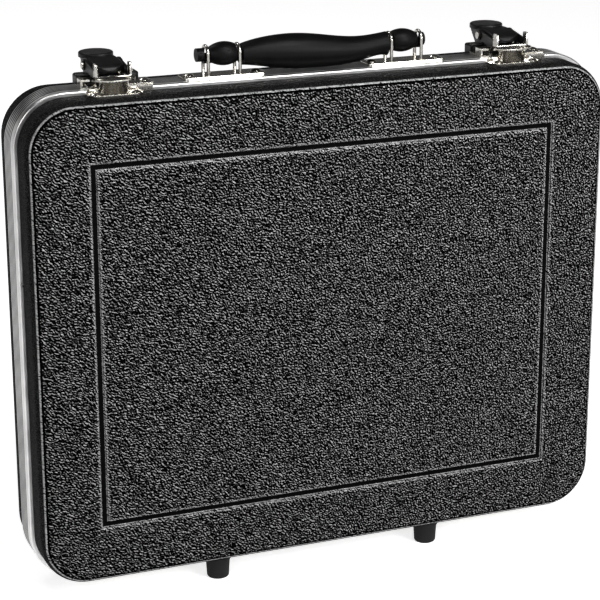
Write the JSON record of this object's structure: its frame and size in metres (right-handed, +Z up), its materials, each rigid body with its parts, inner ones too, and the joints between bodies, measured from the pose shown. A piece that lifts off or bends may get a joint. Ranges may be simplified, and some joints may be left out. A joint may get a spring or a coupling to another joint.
{
  "type": "harmonica case",
  "caption": "Upright hard-shell case with a hinged lid, ribbed metal edge, carrying handle, draw latches and a foam tray of slots for harmonicas.",
  "frame": {"origin": "on the ground under the middle of the case, level with the soles of the feet", "axes": "+Z up with the case standing on its feet, +X along its width to the right seen from the lid, -Y out of the lid's face"},
  "size_m": [0.356, 0.062, 0.3177],
  "materials": {
    "shell": "black pebble-grained moulded shell",
    "edge_aluminium": "satin ribbed extrusion",
    "nickel": "bright nickel-plated steel",
    "latch_black": "satin black moulding",
    "handle": "satin black moulded grip",
    "foot_rubber": "black rubber",
    "foam": "black flocked foam"
  },
  "bodies": {
    "base": {"base_shell": "shell", "base_valance": "edge_aluminium", "base_feet": "foot_rubber", "base_foot_screws": "nickel", "base_hinge_leaf_left": "nickel", "base_hinge_leaf_right": "nickel", "base_hinge_rivets": "nickel", "hinge_pin_left": "nickel", "hinge_pin_right": "nickel", "handle_plate_left": "nickel", "handle_plate_right": "nickel", "handle_loops": "nickel", "handle_rivets": "nickel", "latch_rivets": "nickel", "block_screws": "nickel", "foam_floor": "foam", "foam_border": "foam", "foam_columns": "foam", "foam_rows": "foam", "latch_base_left": "nickel", "latch_block_left": "latch_black", "lever_pin_left": "nickel", "latch_base_right": "nickel", "latch_block_right": "latch_black", "lever_pin_right": "nickel"},
    "lid": {"lid_shell": "shell", "lid_valance": "edge_aluminium", "lid_feet": "foot_rubber", "lid_foot_screws": "nickel", "lid_hinge_leaf_left": "nickel", "lid_hinge_leaf_right": "nickel", "lid_hinge_rivets": "nickel", "lid_foam": "foam", "catch_rivets": "nickel", "latch_catch_left": "nickel", "latch_catch_right": "nickel"},
    "handle": {"handle_grip": "handle"},
    "lever_left": {"latch_lever_left": "latch_black", "hook_pin_left": "nickel"},
    "hook_left": {"latch_hook_left": "nickel", "hook_washers_left": "latch_black"},
    "lever_right": {"latch_lever_right": "latch_black", "hook_pin_right": "nickel"},
    "hook_right": {"latch_hook_right": "nickel", "hook_washers_right": "latch_black"}
  },
  "joints": [
    {"name": "lid_hinge", "type": "hinge", "parent": "base", "child": "lid", "pos_m": [0, -0.0079, 0.0078], "axis": [1, 0, 0], "range_deg": [0, 110]},
    {"name": "handle_lift", "type": "slide", "parent": "base", "child": "handle", "axis": [0, 0, 1], "range_m": [0, 0.0027]},
    {"name": "lever_left", "type": "hinge", "parent": "base", "child": "lever_left", "pos_m": [-0.121, -0.001, 0.3045], "axis": [1, 0, 0], "range_deg": [0, 110]},
    {"name": "hook_left", "type": "hinge", "parent": "lever_left", "child": "hook_left", "pos_m": [-0.121, 0.009, 0.3067], "axis": [1, 0, 0], "range_deg": [-110, 0]},
    {"name": "lever_right", "type": "hinge", "parent": "base", "child": "lever_right", "pos_m": [0.121, -0.001, 0.3045], "axis": [1, 0, 0], "range_deg": [0, 110]},
    {"name": "hook_right", "type": "hinge", "parent": "lever_right", "child": "hook_right", "pos_m": [0.121, 0.009, 0.3067], "axis": [1, 0, 0], "range_deg": [-110, 0]}
  ],
  "couplings": [
    {"joint": "hook_left", "follows": "lever_left", "ratio": -1},
    {"joint": "hook_right", "follows": "lever_right", "ratio": -1}
  ]
}
